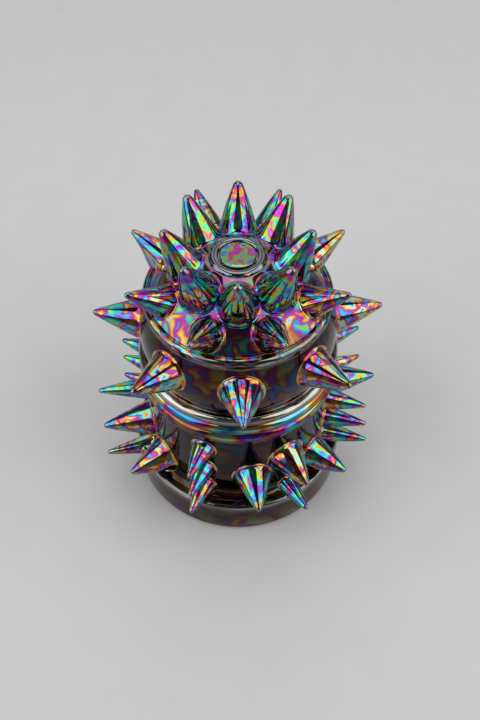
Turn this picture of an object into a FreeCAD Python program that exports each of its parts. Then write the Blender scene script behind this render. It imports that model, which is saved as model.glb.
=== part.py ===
"""A hand-held spiked glass grinder: a domed lid that turns and lifts off, a grinding bowl on a
glass collar, and a waisted catch jar on a heavy foot.  Millimetres, +Z up, origin at the middle
of the face the foot stands on, front towards -Y."""
import FreeCAD, Part
import math
import os
import re
import Sketcher

os.makedirs("parts", exist_ok=True)
doc = FreeCAD.newDocument("glass_grinder")
Vector = FreeCAD.Vector

# ---------------------------------------------------------------- driving dimensions
SIZES = {
    # catch jar
    "foot_step": 5.9,
    "foot_ring_height": 14.3,
    "foot_ring_round": 1.6,
    "foot_cove": 3.4,
    "foot_lip": 0.4,
    "waist_radius": 31.1,
    "jar_wall": 2.9,
    "jar_floor": 5.0,
    "jar_lift": 1.5,
    "jar_rim_start": 46.3,
    "jar_rim_height": 5.3,
    "bead_swell": 1.6,
    "neck_step": 0.2,
    # glass collar round the grinding bowl
    "collar_height": 4.6,
    "lid_gap": 0.3,
    # grinding bowl
    "plug_clearance": 1.3,
    "bowl_skirt_wall": 2.0,
    "bowl_skirt_drop": 5.1,
    "bowl_floor": 2.0,
    "bowl_floor_drop": 2.2,
    "bowl_wall": 1.5,
    "bowl_wall_height": 11.0,
    "seal_groove": 1.0,
    "seal_height": 2.0,
    "seal_clearance": 0.2,
    "drop_hole_radius": 2.1,
    "inner_drop_count": 6,
    "outer_drop_count": 12,
    # turning fit between lid cutter and bowl
    "turning_clearance": 0.06,
    "glide_thickness": 1.0,
    "glide_clearance": 0.15,
    # cutter in the lid
    "cutter_step": 0.3,
    "cutter_skirt": 2.14,
    "chamber_height": 12.0,
    "cutter_plate": 3.0,
    "bond_gap": 0.05,
    "bond_thickness": 1.0,
    # teeth
    "tooth_across": 2.4,
    "tooth_along": 3.6,
    "tooth_clearance": 1.5,
    "shank_radius": 0.9,
    "shank_depth": 1.4,
    "shank_fit": 0.02,
    "post_to_row": 3.8,
    "wall_to_row": 2.0,
    "row_pitch": 3.75,
    "lid_inner_count": 6,
    "lid_outer_count": 8,
    "bowl_inner_count": 6,
    "bowl_outer_count": 12,
    # magnets at the middle
    "magnet_radius": 4.0,
    "magnet_height": 2.8,
    "magnet_rim": 1.6,
    "magnet_cover": 0.4,
    "post_height": 5.2,
    "magnet_gap": 1.0,
    # lid glass
    "band_swell": 0.65,
    "band_low_inset": 0.9,
    "band_high_inset": 1.8,
    "lip_bead_height": 3.9,
    "band_height": 21.6,
    "lid_wall": 3.0,
    "shoulder_bead_in": 1.8,
    "shoulder_bead_up": 2.9,
    "shoulder_bead_swell": 1.3,
    "dome_rise": 13.6,
    "dome_flat_radius": 8.8,
    "dome_swell": 1.7,
    # pressed ring and button on the crown
    "button_radius": 5.5,
    "button_side": 1.0,
    "button_dome": 0.5,
    "button_groove": 0.5,
    "crown_ring_height": 0.7,
    "crown_ring_swell": 0.9,
    # spikes
    "root_depth": 3.2,
    "spike_count": 8,
    "crown_foot": 5.95,
    "crown_length": 15.1,
    "crown_lean": 66.6,
    "crown_distance": 15.9,
    "crown_tip": 1.15,
    "shoulder_foot": 5.05,
    "shoulder_length": 13.7,
    "shoulder_lean": 34.6,
    "shoulder_distance": 24.1,
    "shoulder_tip": 0.8,
    "band_foot": 6.5,
    "band_length": 14.4,
    "band_lean": 12.4,
    "band_spike_height": 16.4,
    "band_tip": 0.9,
    "band_turn": 2.0,
    "large_foot": 6.55,
    "large_tip": 0.95,
    "small_foot": 4.15,
    "small_tip": 0.75,
}

# Spikes of the catch jar, set by hand and so a little uneven: turn from the front towards the
# right in degrees, height of the axis and length beyond the wall in millimetres.
LARGE_SPIKES = (
    (-131, 22.5, 14.4),
    (-77, 26.4, 17.4),
    (-55, 19.7, 14.3),
    (9, 25.4, 13.7),
    (31, 31.8, 13.4),
    (55, 21.0, 14.3),
    (97, 34.0, 17.6),
    (141, 24.0, 14.4),
    (-172, 25.4, 14.0),
    (-150, 33.0, 14.0),
)
SMALL_SPIKES = (
    (-112, 40.5, 13.7),
    (-112, 30.8, 14.3),
    (-112, 20.0, 15.2),
    (-85, 38.0, 17.4),
    (-75, 12.1, 18.0),
    (-21.5, 39.7, 12.1),
    (-21.5, 28.6, 12.4),
    (-21.5, 18.1, 12.7),
    (32.5, 14.3, 13.0),
    (75.5, 38.7, 13.7),
    (75.5, 28.6, 14.9),
    (75.5, 19.2, 15.9),
    (114, 27.6, 18.0),
    (118, 40.0, 18.4),
    (163, 38.1, 13.4),
    (163, 27.6, 13.8),
    (163, 17.5, 14.2),
    (-152, 15.0, 13.6),
)

for kind, spikes in (("large", LARGE_SPIKES), ("small", SMALL_SPIKES)):
    for number, (turn, height, length) in enumerate(spikes, 1):
        SIZES[f"{kind}_turn_{number}"] = turn
        SIZES[f"{kind}_height_{number}"] = height
        SIZES[f"{kind}_length_{number}"] = length

sheet = doc.addObject("Spreadsheet::Sheet", "Sizes")
for row, (alias, value) in enumerate(SIZES.items(), 1):
    sheet.set(f"A{row}", alias)
    sheet.set(f"B{row}", str(value))
    sheet.setAlias(f"B{row}", alias)
doc.recompute()

# ---------------------------------------------------------------- helpers
ALIAS = re.compile(r"\b(" + "|".join(sorted(SIZES, key=len, reverse=True)) + r")\b")


def bound(text):
    """The expression as another object reads it, with each alias taken from the sheet."""
    return ALIAS.sub(r"Sizes.\1", text)


def number(text):
    """The value an expression of the sheet's aliases has now."""
    return float(sheet.evalExpression(bound(text)))


def origin_feature(body, role):
    return [feature for feature in body.Origin.OriginFeatures if feature.Role == role][0]


def new_body(name):
    body = doc.addObject("PartDesign::Body", name)
    body.Label = name
    return body


def new_sketch(body, name, role, offset=None):
    """A sketch on one of the body's own origin planes, moved by an expression if one is given."""
    sketch = body.newObject("Sketcher::SketchObject", name)
    sketch.AttachmentSupport = [(origin_feature(body, role), "")]
    sketch.MapMode = "FlatFace"
    if offset:
        sketch.setExpression("AttachmentOffset", bound(offset))
    return sketch


def pin_point(sketch, geometry, end, across, up):
    """Hold one end of a line or arc at (across, up), each an expression."""
    for axis, kind, text in ((-2, "DistanceX", across), (-1, "DistanceY", up)):
        value = number(text)
        if abs(value) < 1e-9:
            sketch.addConstraint(Sketcher.Constraint("PointOnObject", geometry, end, axis))
            continue
        index = sketch.addConstraint(Sketcher.Constraint(kind, -1, 1, geometry, end, value))
        sketch.setExpression(f"Constraints[{index}]", bound(text))


def draw_outline(sketch, points):
    """A closed outline.  Each point is (across, up) or (across, up, bulge): the bulge is the rise
    of the arc that leads to the next point, to the right of the way the outline runs.  An arc is
    always drawn anticlockwise, so one that bulges to the left is drawn from its far end."""
    ends = []
    for here, after in zip(points, points[1:] + points[:1]):
        x0, y0 = number(here[0]), number(here[1])
        x1, y1 = number(after[0]), number(after[1])
        start, finish = Vector(x0, y0, 0), Vector(x1, y1, 0)
        if len(here) == 2:
            index = sketch.addGeometry(Part.LineSegment(start, finish))
            ends.append((index, 1, 2))
            continue
        chord = math.hypot(x1 - x0, y1 - y0)
        rise = number(here[2])
        middle = (start + finish) * 0.5 + Vector(y1 - y0, x0 - x1, 0) * (rise / chord)
        if rise > 0:
            index = sketch.addGeometry(Part.Arc(start, middle, finish))
            ends.append((index, 1, 2))
        else:
            index = sketch.addGeometry(Part.Arc(finish, middle, start))
            ends.append((index, 2, 1))
    for order, (index, first, last) in enumerate(ends):
        following = ends[(order + 1) % len(ends)]
        sketch.addConstraint(Sketcher.Constraint("Coincident", index, last, following[0], following[1]))
        pin_point(sketch, index, first, points[order][0], points[order][1])
    for order, here in enumerate(points):
        if len(here) == 3:
            after = points[(order + 1) % len(points)]
            square = f"((({after[0]}) - ({here[0]}))^2 + (({after[1]}) - ({here[1]}))^2)"
            radius = f"{square} / (8 * abs({here[2]})) + abs({here[2]}) / 2"
            index = sketch.addConstraint(Sketcher.Constraint("Radius", ends[order][0], number(radius)))
            sketch.setExpression(f"Constraints[{index}]", bound(radius))


def turn_outline(body, name, points, cut=False):
    """Spin a closed half section round the vertical axis, as glass or metal added or cut away."""
    sketch = new_sketch(body, name + "_section", "XZ_Plane")
    draw_outline(sketch, points)
    kind = "PartDesign::Groove" if cut else "PartDesign::Revolution"
    feature = body.newObject(kind, name)
    feature.Profile = sketch
    feature.ReferenceAxis = (sketch, ["V_Axis"])
    feature.Angle = 360
    body.Tip = feature
    return feature


def turned_part(name, points):
    body = new_body(name)
    turn_outline(body, name + "_turned", points)
    return body


def polar(body, name, original, count):
    """Repeat the feature made last round the vertical axis."""
    pattern = body.newObject("PartDesign::PolarPattern", name)
    pattern.Originals = [original]
    pattern.Axis = (origin_feature(body, "Z_Axis"), [""])
    pattern.Angle = 360
    pattern.setExpression("Occurrences", bound(count))
    body.Tip = pattern
    return pattern


def raised(height):
    """Where a level sketch sits when it is raised to a height."""
    return f"placement(vector(0; 0; {height}); rotation(0; 0; 0))"


def drill_circle(sketch, radius, ring):
    """A circle on the sketch's own across axis, `ring` from the middle."""
    sketch.addGeometry(Part.Circle(Vector(number(ring), 0, 0), Vector(0, 0, 1), number(radius)))
    sketch.addConstraint(Sketcher.Constraint("PointOnObject", 0, 3, -1))
    index = sketch.addConstraint(Sketcher.Constraint("DistanceX", -1, 1, 0, 3, number(ring)))
    sketch.setExpression(f"Constraints[{index}]", bound(ring))
    index = sketch.addConstraint(Sketcher.Constraint("Radius", 0, number(radius)))
    sketch.setExpression(f"Constraints[{index}]", bound(radius))


def ring_of_holes(body, name, radius, ring, height, depth, count, upward=False):
    """Round holes on a circle, drilled down from the height given, or up from it."""
    sketch = new_sketch(body, name + "_sketch", "XY_Plane", raised(height))
    drill_circle(sketch, radius, ring)
    pocket = body.newObject("PartDesign::Pocket", name)
    pocket.Profile = sketch
    pocket.Reversed = upward
    pocket.setExpression("Length", bound(depth))
    return polar(body, name + "_ring", pocket, count)


def tooth_row(body, name, ring, count, low, blade, shank_low, shank):
    """A circle of diamond pins, each with a round shank that sits in the plate behind it."""
    sketch = new_sketch(body, name + "_blade", "XY_Plane", raised(low))
    draw_outline(sketch, [
        (f"{ring} - tooth_across / 2", "0"),
        (ring, "-tooth_along / 2"),
        (f"{ring} + tooth_across / 2", "0"),
        (ring, "tooth_along / 2"),
    ])
    pad = body.newObject("PartDesign::Pad", name + "_blades")
    pad.Profile = sketch
    pad.setExpression("Length", bound(blade))
    polar(body, name + "_blade_ring", pad, count)
    sketch = new_sketch(body, name + "_shank", "XY_Plane", raised(shank_low))
    drill_circle(sketch, "shank_radius", ring)
    pad = body.newObject("PartDesign::Pad", name + "_shanks")
    pad.Profile = sketch
    pad.setExpression("Length", bound(shank))
    polar(body, name + "_shank_ring", pad, count)


def add_spike(body, name, foot, tip, length, turn, distance, height, lean):
    """One solid glass cone with a rounded tip.  Its axis leans up from level by `lean`, leaves the
    wall `distance` from the middle at `height`, and its root runs on inside until it is trimmed."""
    offset = (f"placement(vector(0; 0; 0); rotation(vector(0; 1; 0); {turn} - 90)) * "
              f"placement(vector({distance}; {height}; 0); rotation(vector(0; 0; 1); {lean})) * "
              f"placement(vector(-root_depth; 0; 0); rotation(0; 0; 0))")
    sketch = new_sketch(body, name + "_section", "XZ_Plane", offset)
    root, reach = number("root_depth"), number(f"root_depth + {length}")
    wide, blunt = number(foot), number(tip)
    slope = math.atan2(wide, number(length))
    ball = Vector(reach - blunt, 0, 0)
    touch = ball + Vector(math.sin(slope), math.cos(slope), 0) * blunt
    halfway = (math.pi / 2 - slope) / 2
    tip_middle = ball + Vector(math.cos(halfway), math.sin(halfway), 0) * blunt
    corners = [Vector(0, 0, 0), Vector(0, wide, 0), Vector(root, wide, 0), touch]
    for start, finish in zip(corners, corners[1:]):
        sketch.addGeometry(Part.LineSegment(start, finish))
    sketch.addGeometry(Part.Arc(Vector(reach, 0, 0), tip_middle, touch))
    sketch.addGeometry(Part.LineSegment(Vector(reach, 0, 0), Vector(0, 0, 0)))
    for first, first_end, second, second_end in ((0, 2, 1, 1), (1, 2, 2, 1), (3, 1, 4, 1), (4, 2, 0, 1)):
        sketch.addConstraint(Sketcher.Constraint("Coincident", first, first_end, second, second_end))
    sketch.addConstraint(Sketcher.Constraint("Tangent", 2, 2, 3, 2))
    sketch.addConstraint(Sketcher.Constraint("Coincident", 0, 1, -1, 1))
    sketch.addConstraint(Sketcher.Constraint("PointOnObject", 3, 3, -1))
    sketch.addConstraint(Sketcher.Constraint("PointOnObject", 3, 1, -1))
    sketch.addConstraint(Sketcher.Constraint("Vertical", 0))
    for kind, geometry, end, text in (("DistanceY", 0, 2, foot), ("DistanceY", 1, 2, foot),
                                      ("DistanceX", 1, 2, "root_depth"),
                                      ("DistanceX", 3, 1, f"root_depth + {length}")):
        index = sketch.addConstraint(Sketcher.Constraint(kind, -1, 1, geometry, end, number(text)))
        sketch.setExpression(f"Constraints[{index}]", bound(text))
    index = sketch.addConstraint(Sketcher.Constraint("Radius", 3, blunt))
    sketch.setExpression(f"Constraints[{index}]", bound(tip))
    spike = body.newObject("PartDesign::Revolution", name)
    spike.Profile = sketch
    spike.ReferenceAxis = (sketch, ["H_Axis"])
    spike.Angle = 360
    body.Tip = spike
    return spike


# ---------------------------------------------------------------- heights shared by the pieces
JAR_TOP = "(jar_rim_start + jar_rim_height)"
COLLAR_TOP = f"({JAR_TOP} + collar_height)"
LID_LOW = f"({COLLAR_TOP} + lid_gap)"
FOOT_RADIUS = "(waist_radius + foot_step)"
JAR_BORE = "(waist_radius - jar_wall)"
BOWL_SKIRT = f"({JAR_BORE} - plug_clearance)"
CUTTER_RADIUS = f"({BOWL_SKIRT} - cutter_step)"
BOWL_WALL = f"({CUTTER_RADIUS} - cutter_skirt - turning_clearance)"
POST_RADIUS = "(magnet_radius + magnet_rim)"
TOOTH_ROWS = {
    "lid_inner": f"({POST_RADIUS} + post_to_row)",
    "bowl_inner": f"({POST_RADIUS} + post_to_row + row_pitch)",
    "lid_outer": f"({BOWL_WALL} - bowl_wall - wall_to_row - row_pitch)",
    "bowl_outer": f"({BOWL_WALL} - bowl_wall - wall_to_row)",
}
BOWL_FLOOR_TOP = f"({COLLAR_TOP} - bowl_floor_drop)"
CHAMBER_TOP = f"({BOWL_FLOOR_TOP} + chamber_height)"
GLIDE_TOP = f"({COLLAR_TOP} + glide_thickness)"
LID_BORE = f"({CUTTER_RADIUS} + bond_gap + bond_thickness + bond_gap)"
COLLAR_BORE = f"({BOWL_SKIRT} + bond_gap + bond_thickness + bond_gap)"
NECK = "(waist_radius + neck_step)"
BAND_LOW_RADIUS = "(waist_radius - band_low_inset)"
BAND_HIGH_RADIUS = "(waist_radius - band_high_inset)"
BAND_RISE = "(band_swell + (band_low_inset + band_high_inset) / 2)"
BAND_LOW = f"({LID_LOW} + lip_bead_height)"
BAND_HIGH = f"({BAND_LOW} + band_height)"
DOME_EDGE_RADIUS = f"({BAND_HIGH_RADIUS} - shoulder_bead_in)"
DOME_EDGE = f"({BAND_HIGH} + shoulder_bead_up)"
DOME_TOP = f"({DOME_EDGE} + dome_rise)"


def arc_through(x0, y0, x1, y1, rise):
    """Centre and radius, as expressions, of an arc given by its ends and its rise."""
    chord = f"sqrt((({x1}) - ({x0}))^2 + (({y1}) - ({y0}))^2)"
    radius = f"({chord}^2 / (8 * {rise}) + {rise} / 2)"
    back = f"(({rise} - {radius}) / {chord})"
    centre_x = f"((({x0}) + ({x1})) / 2 + (({y1}) - ({y0})) * {back})"
    centre_y = f"((({y0}) + ({y1})) / 2 - (({x1}) - ({x0})) * {back})"
    return centre_x, centre_y, radius


def quarter(radius):
    """Bulge of a quarter round."""
    return f"({radius}) * (1 - sqrt(0.5))"


def cap_bulge(radius, rise):
    """Bulge of the half section of a round cap, so that its arc is centred on the axis."""
    ball = f"((({radius})^2 + ({rise})^2) / (2 * ({rise})))"
    return f"({ball} - sqrt({ball}^2 - (({radius})^2 + ({rise})^2) / 4))"


DOME = arc_through(DOME_EDGE_RADIUS, DOME_EDGE, "dome_flat_radius", DOME_TOP, "dome_swell")
BAND = arc_through(BAND_LOW_RADIUS, BAND_LOW, BAND_HIGH_RADIUS, BAND_HIGH, BAND_RISE)


def dome_height(distance):
    """Height of the dome's skin at a distance from the middle."""
    return f"({DOME[1]} + sqrt({DOME[2]}^2 - ({distance} - {DOME[0]})^2))"


def band_skin(height):
    """Radius of the lid's barrel wall at a height."""
    return f"({BAND[0]} + sqrt({BAND[2]}^2 - ({height} - {BAND[1]})^2))"


# ---------------------------------------------------------------- catch jar
JAR_OUTSIDE = [
    ("waist_radius", "jar_rim_start"),
    (NECK, "jar_rim_start", "bead_swell"),
    (NECK, JAR_TOP),
]
turned_part("base_cup", [
    ("0", "jar_lift"),
    ("waist_radius", "jar_lift"),
    *JAR_OUTSIDE,
    (JAR_BORE, JAR_TOP),
    (JAR_BORE, "jar_lift + 2 * jar_floor", "-" + quarter("jar_floor")),
    (f"{JAR_BORE} - jar_floor", "jar_lift + jar_floor"),
    ("0", "jar_lift + jar_floor"),
])

FOOT_OUTSIDE = [
    (f"{FOOT_RADIUS} - foot_ring_round", "0", quarter("foot_ring_round")),
    (FOOT_RADIUS, "foot_ring_round"),
    (FOOT_RADIUS, "foot_ring_height - foot_ring_round", quarter("foot_ring_round")),
    (f"{FOOT_RADIUS} - foot_ring_round", "foot_ring_height"),
    ("waist_radius + foot_lip + foot_cove", "foot_ring_height", "-" + quarter("foot_cove")),
    ("waist_radius + foot_lip", "foot_ring_height + foot_cove"),
    ("waist_radius", "foot_ring_height + foot_cove"),
]
turned_part("base_foot", [("waist_radius", "0"), *FOOT_OUTSIDE])

for node, kind, spikes in (("base_large_spikes", "large", LARGE_SPIKES),
                           ("base_small_spikes", "small", SMALL_SPIKES)):
    base_spikes = new_body(node)
    for place in range(1, len(spikes) + 1):
        add_spike(base_spikes, f"{kind}_spike_{place}", f"{kind}_foot", f"{kind}_tip",
                  f"{kind}_length_{place}", f"{kind}_turn_{place}", "waist_radius",
                  f"{kind}_height_{place}", "0")
    turn_outline(base_spikes, f"{kind}_feet_trim",
                 [("0", "0"), *FOOT_OUTSIDE[:-1], ("waist_radius", "foot_ring_height + foot_cove"),
                  *JAR_OUTSIDE, ("0", JAR_TOP)], cut=True)

# ---------------------------------------------------------------- collar and grinding bowl
turned_part("middle_collar", [
    (COLLAR_BORE, JAR_TOP),
    (NECK, JAR_TOP, "bead_swell"),
    (NECK, COLLAR_TOP),
    (COLLAR_BORE, COLLAR_TOP),
])

turned_part("collar_bond_sleeve", [
    (f"{BOWL_SKIRT} + bond_gap", JAR_TOP),
    (f"{BOWL_SKIRT} + bond_gap + bond_thickness", JAR_TOP),
    (f"{BOWL_SKIRT} + bond_gap + bond_thickness", COLLAR_TOP),
    (f"{BOWL_SKIRT} + bond_gap", COLLAR_TOP),
])

SKIRT_LOW = f"({JAR_TOP} - bowl_skirt_drop)"
SEAL_LOW = f"({SKIRT_LOW} + seal_height)"
POST_TOP = f"({BOWL_FLOOR_TOP} + post_height)"
bowl = turned_part("cutter_bowl", [
    ("0", f"{BOWL_FLOOR_TOP} - bowl_floor"),
    (f"{BOWL_SKIRT} - bowl_skirt_wall", f"{BOWL_FLOOR_TOP} - bowl_floor"),
    (f"{BOWL_SKIRT} - bowl_skirt_wall", SKIRT_LOW),
    (BOWL_SKIRT, SKIRT_LOW),
    (BOWL_SKIRT, SEAL_LOW),
    (f"{BOWL_SKIRT} - seal_groove", SEAL_LOW),
    (f"{BOWL_SKIRT} - seal_groove", f"{SEAL_LOW} + seal_height"),
    (BOWL_SKIRT, f"{SEAL_LOW} + seal_height"),
    (BOWL_SKIRT, COLLAR_TOP),
    (BOWL_WALL, COLLAR_TOP),
    (BOWL_WALL, f"{BOWL_FLOOR_TOP} + bowl_wall_height"),
    (f"{BOWL_WALL} - bowl_wall", f"{BOWL_FLOOR_TOP} + bowl_wall_height"),
    (f"{BOWL_WALL} - bowl_wall", BOWL_FLOOR_TOP),
    (POST_RADIUS, BOWL_FLOOR_TOP),
    (POST_RADIUS, POST_TOP),
    ("magnet_radius + bond_gap", POST_TOP),
    ("magnet_radius + bond_gap", f"{POST_TOP} - magnet_height - magnet_cover"),
    ("0", f"{POST_TOP} - magnet_height - magnet_cover"),
])
for row in ("inner", "outer"):
    ring_of_holes(bowl, f"{row}_drop_holes", "drop_hole_radius", TOOTH_ROWS[f"lid_{row}"],
                  BOWL_FLOOR_TOP, "bowl_floor", f"{row}_drop_count")
    ring_of_holes(bowl, f"bowl_{row}_sockets", "shank_radius + shank_fit", TOOTH_ROWS[f"bowl_{row}"],
                  BOWL_FLOOR_TOP, "shank_depth", f"bowl_{row}_count")

bowl_teeth = new_body("bowl_teeth")
for row in ("inner", "outer"):
    tooth_row(bowl_teeth, f"bowl_{row}", TOOTH_ROWS[f"bowl_{row}"], f"bowl_{row}_count", BOWL_FLOOR_TOP,
              "chamber_height - tooth_clearance", f"{BOWL_FLOOR_TOP} - shank_depth", "shank_depth")


def magnet(name, low):
    turned_part(name, [("0", low), ("magnet_radius", low), ("magnet_radius", f"{low} + magnet_height"),
                       ("0", f"{low} + magnet_height")])


def magnet_cover(name, low):
    turned_part(name, [("0", low), ("magnet_radius", low), ("magnet_radius", f"{low} + magnet_cover"),
                       ("0", f"{low} + magnet_cover")])


magnet("bowl_magnet", f"({POST_TOP} - magnet_height - magnet_cover)")
magnet_cover("bowl_magnet_cover", f"({POST_TOP} - magnet_cover)")

turned_part("plug_seal_ring", [
    (f"{BOWL_SKIRT} - seal_groove", SEAL_LOW),
    (f"{JAR_BORE} - seal_clearance - seal_height / 4", SEAL_LOW, "seal_height / 4"),
    (f"{JAR_BORE} - seal_clearance - seal_height / 4", f"{SEAL_LOW} + seal_height"),
    (f"{BOWL_SKIRT} - seal_groove", f"{SEAL_LOW} + seal_height"),
])

turned_part("glide_ring", [
    (f"{BOWL_WALL} + glide_clearance", COLLAR_TOP),
    (CUTTER_RADIUS, COLLAR_TOP),
    (CUTTER_RADIUS, GLIDE_TOP),
    (f"{BOWL_WALL} + glide_clearance", GLIDE_TOP),
])

# ---------------------------------------------------------------- cutter in the lid
BOSS_LOW = f"({POST_TOP} + magnet_gap)"
CUTTER_TOP = f"({CHAMBER_TOP} + cutter_plate)"
cutter = turned_part("lid_cutter", [
    ("0", f"{BOSS_LOW} + magnet_cover + magnet_height"),
    ("magnet_radius + bond_gap", f"{BOSS_LOW} + magnet_cover + magnet_height"),
    ("magnet_radius + bond_gap", BOSS_LOW),
    (POST_RADIUS, BOSS_LOW),
    (POST_RADIUS, CHAMBER_TOP),
    (f"{BOWL_WALL} + turning_clearance", CHAMBER_TOP),
    (f"{BOWL_WALL} + turning_clearance", GLIDE_TOP),
    (CUTTER_RADIUS, GLIDE_TOP),
    (CUTTER_RADIUS, CUTTER_TOP),
    ("0", CUTTER_TOP),
])
for row in ("inner", "outer"):
    ring_of_holes(cutter, f"lid_{row}_sockets", "shank_radius + shank_fit", TOOTH_ROWS[f"lid_{row}"],
                  CHAMBER_TOP, "shank_depth", f"lid_{row}_count", upward=True)

lid_teeth = new_body("lid_teeth")
for row in ("inner", "outer"):
    tooth_row(lid_teeth, f"lid_{row}", TOOTH_ROWS[f"lid_{row}"], f"lid_{row}_count",
              f"({BOWL_FLOOR_TOP} + tooth_clearance)", "chamber_height - tooth_clearance", CHAMBER_TOP,
              "shank_depth")

magnet_cover("lid_magnet_cover", BOSS_LOW)
magnet("lid_magnet", f"({BOSS_LOW} + magnet_cover)")

turned_part("lid_bond_sleeve", [
    (f"{CUTTER_RADIUS} + bond_gap", f"{GLIDE_TOP} + bond_thickness"),
    (f"{CUTTER_RADIUS} + bond_gap + bond_thickness", f"{GLIDE_TOP} + bond_thickness"),
    (f"{CUTTER_RADIUS} + bond_gap + bond_thickness", CUTTER_TOP),
    (f"{CUTTER_RADIUS} + bond_gap", CUTTER_TOP),
])

# ---------------------------------------------------------------- lid glass
LID_OUTSIDE = [
    (NECK, LID_LOW, "bead_swell"),
    (NECK, BAND_LOW),
    (BAND_LOW_RADIUS, BAND_LOW, BAND_RISE),
    (BAND_HIGH_RADIUS, BAND_HIGH, "shoulder_bead_swell"),
    (DOME_EDGE_RADIUS, DOME_EDGE, "dome_swell"),
    ("dome_flat_radius", DOME_TOP),
]
lid_shell = new_body("lid_shell")
turn_outline(lid_shell, "lid_outside", [("0", LID_LOW), *LID_OUTSIDE, ("0", DOME_TOP)])
turn_outline(lid_shell, "lid_hollow", [
    ("0", LID_LOW),
    (LID_BORE, LID_LOW),
    (LID_BORE, CUTTER_TOP),
    (f"{DOME_EDGE_RADIUS} - lid_wall", f"{DOME_EDGE} - lid_wall / 2", "dome_swell"),
    ("dome_flat_radius", f"{DOME_TOP} - lid_wall"),
    ("0", f"{DOME_TOP} - lid_wall"),
], cut=True)

turned_part("crown_ring", [
    ("button_radius + button_groove", DOME_TOP),
    ("dome_flat_radius", DOME_TOP, "crown_ring_swell"),
    ("button_radius + button_groove", f"{DOME_TOP} + crown_ring_height"),
])
turned_part("crown_button", [
    ("0", DOME_TOP),
    ("button_radius", DOME_TOP),
    ("button_radius", f"{DOME_TOP} + button_side", cap_bulge("button_radius", "button_dome")),
    ("0", f"{DOME_TOP} + button_side + button_dome"),
])

LID_SPIKE_RINGS = (
    ("crown_spikes", "crown", "0", "crown_distance", dome_height("crown_distance")),
    ("shoulder_spikes", "shoulder", "360 / spike_count / 2", "shoulder_distance",
     dome_height("shoulder_distance")),
    ("band_spikes", "band", "band_turn", band_skin(f"({LID_LOW} + band_spike_height)"),
     f"({LID_LOW} + band_spike_height)"),
)
for node, kind, turn, distance, height in LID_SPIKE_RINGS:
    ring = new_body(node)
    first = add_spike(ring, f"{kind}_spike", f"{kind}_foot", f"{kind}_tip", f"{kind}_length", turn,
                      distance, height, f"{kind}_lean")
    polar(ring, f"{kind}_spike_ring", first, "spike_count")
    turn_outline(ring, f"{kind}_feet_trim", [("0", LID_LOW), *LID_OUTSIDE, ("0", DOME_TOP)], cut=True)

# ---------------------------------------------------------------- check and write
doc.recompute()
bodies = [item for item in doc.Objects if item.TypeId == "PartDesign::Body"]
failed = [item.Name for item in doc.Objects if "Invalid" in item.State or "Error" in item.State]
if failed:
    raise RuntimeError("these objects did not build: " + ", ".join(failed))
for body in bodies:
    if body.Shape.isNull() or not body.Shape.isValid() or not body.Shape.Solids:
        raise RuntimeError(body.Label + " has no valid solid")
for body in bodies:
    body.Shape.exportStep(os.path.join("parts", body.Label + ".step"))
    box = body.Shape.BoundBox
    print(f"{body.Label:20s} solids {len(body.Shape.Solids):3d}  volume {body.Shape.Volume:10.1f}"
          f"  z {box.ZMin:7.2f} to {box.ZMax:7.2f}")
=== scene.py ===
# %% [markdown]
# # A spiked hand grinder in iridised black glass
# This lesson dresses a small hand grinder: a domed lid, a collar and a waisted jar of black glass,
# all set with blunt glass spikes.  The working parts inside are metal.  The glass carries a thin
# metal-oxide film, blown on while it was hot, and that film splits the light into colours as oil
# does on water.  The construction is already fixed, so the first step is to load it as a frame.

# %% Load the frame
import math

import bpy
import numpy as np
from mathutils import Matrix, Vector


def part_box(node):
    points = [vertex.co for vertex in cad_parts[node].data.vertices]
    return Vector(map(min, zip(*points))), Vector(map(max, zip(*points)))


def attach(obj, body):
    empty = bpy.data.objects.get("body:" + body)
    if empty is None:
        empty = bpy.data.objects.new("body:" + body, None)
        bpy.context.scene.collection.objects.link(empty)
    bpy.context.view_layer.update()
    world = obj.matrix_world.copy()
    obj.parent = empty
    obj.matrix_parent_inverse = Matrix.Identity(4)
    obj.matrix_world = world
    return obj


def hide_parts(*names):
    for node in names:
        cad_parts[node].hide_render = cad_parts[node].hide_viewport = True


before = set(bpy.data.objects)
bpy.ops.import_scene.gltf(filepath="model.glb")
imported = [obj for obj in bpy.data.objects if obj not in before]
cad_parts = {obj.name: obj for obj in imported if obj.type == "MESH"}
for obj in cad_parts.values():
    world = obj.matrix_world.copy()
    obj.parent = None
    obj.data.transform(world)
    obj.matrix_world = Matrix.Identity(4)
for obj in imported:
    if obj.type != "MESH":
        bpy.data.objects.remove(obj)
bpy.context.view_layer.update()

# %% [markdown]
# ## Heights and radii
# The shapes are worked out in millimetres, with the middle of the foot's face as the origin, and the
# mesh maker turns them into metres at the end.  Where a height is also the edge of a frame piece, it
# is read from that piece, so that the glass meets the metal it is glued to.

# %% Sizes
MM = 0.001                                # metres in a millimetre


def top(node):
    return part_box(node)[1].z / MM


def bottom(node):
    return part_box(node)[0].z / MM


def reach(node):
    """Largest radius of a round frame piece."""
    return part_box(node)[1].x / MM


WAIST = 31.1                              # radius of the jar's straight wall
FOOT = reach("base_foot")
JAR_TOP = top("base_cup")
JAR_LIFT = bottom("base_cup")
JAR_BORE = WAIST - 2.9                    # the jar's wall is 2.9 mm thick
COLLAR_TOP = top("middle_collar")
LID_LOW = bottom("lid_cutter") - 0.7      # the lip hangs a little lower than the cutter
NECK = WAIST + 0.2                        # radius the beads spring from
BAND_LOW = LID_LOW + 3.9                  # lower edge of the barrel, above the lip bead
BAND_HIGH = BAND_LOW + 21.6               # upper edge of the barrel, below the shoulder bead
DOME_EDGE = BAND_HIGH + 2.9
DOME_TOP = bottom("crown_button")
CUTTER_TOP = top("lid_cutter")
BEAD = 1.6                                # how far each bead swells out
print(f"jar to {JAR_TOP:.1f}, collar to {COLLAR_TOP:.1f}, lid from {LID_LOW:.1f} to {DOME_TOP:.1f} mm")

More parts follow.
